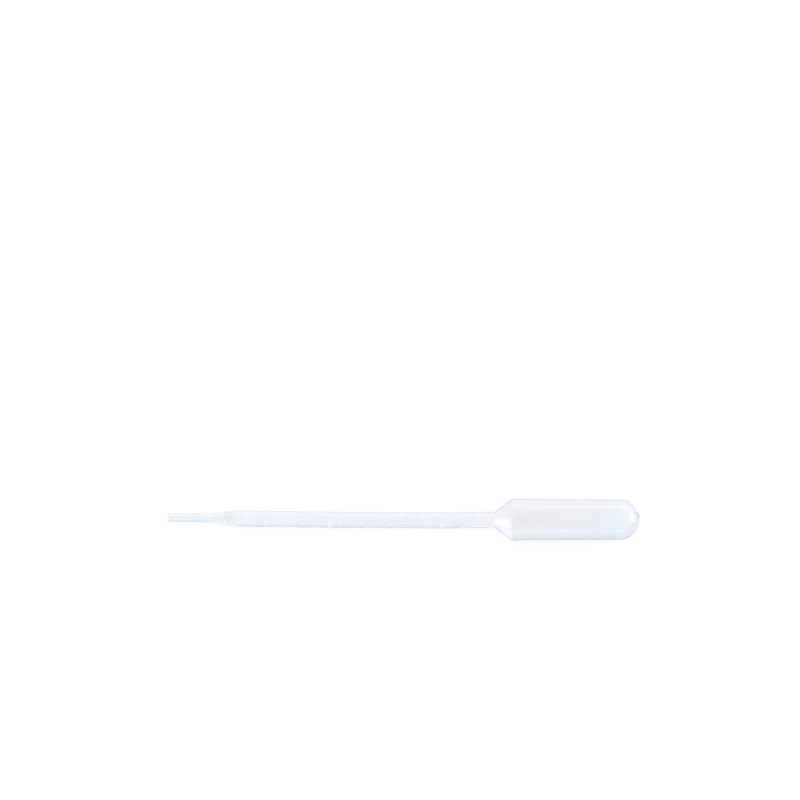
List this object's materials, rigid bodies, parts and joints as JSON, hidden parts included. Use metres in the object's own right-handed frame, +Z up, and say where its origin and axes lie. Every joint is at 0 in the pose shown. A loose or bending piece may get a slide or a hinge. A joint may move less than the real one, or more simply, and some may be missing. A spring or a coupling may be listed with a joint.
{
  "type": "plastic dropper pipette",
  "caption": "Translucent blow-moulded dropper pipette with a fine open tip, tapered shoulder, graduated stem and closed squeeze bulb.",
  "frame": {"origin": "centre of the bounding box in X and Y, on the surface that the pipette lies on", "axes": "+X runs along the pipette from its tip to its bulb, +Z is up; it lies as it comes to rest, on the start of its stem and the shoulder of its bulb, so its axis climbs 2.69 degrees towards the bulb"},
  "size_m": [0.155, 0.0138, 0.0152],
  "materials": {
    "polyethylene": "thin translucent low-density polyethylene, milky and faintly blue, with a soft waxy gloss"
  },
  "bodies": {
    "root": {"pipette": "polyethylene"}
  },
  "joints": []
}
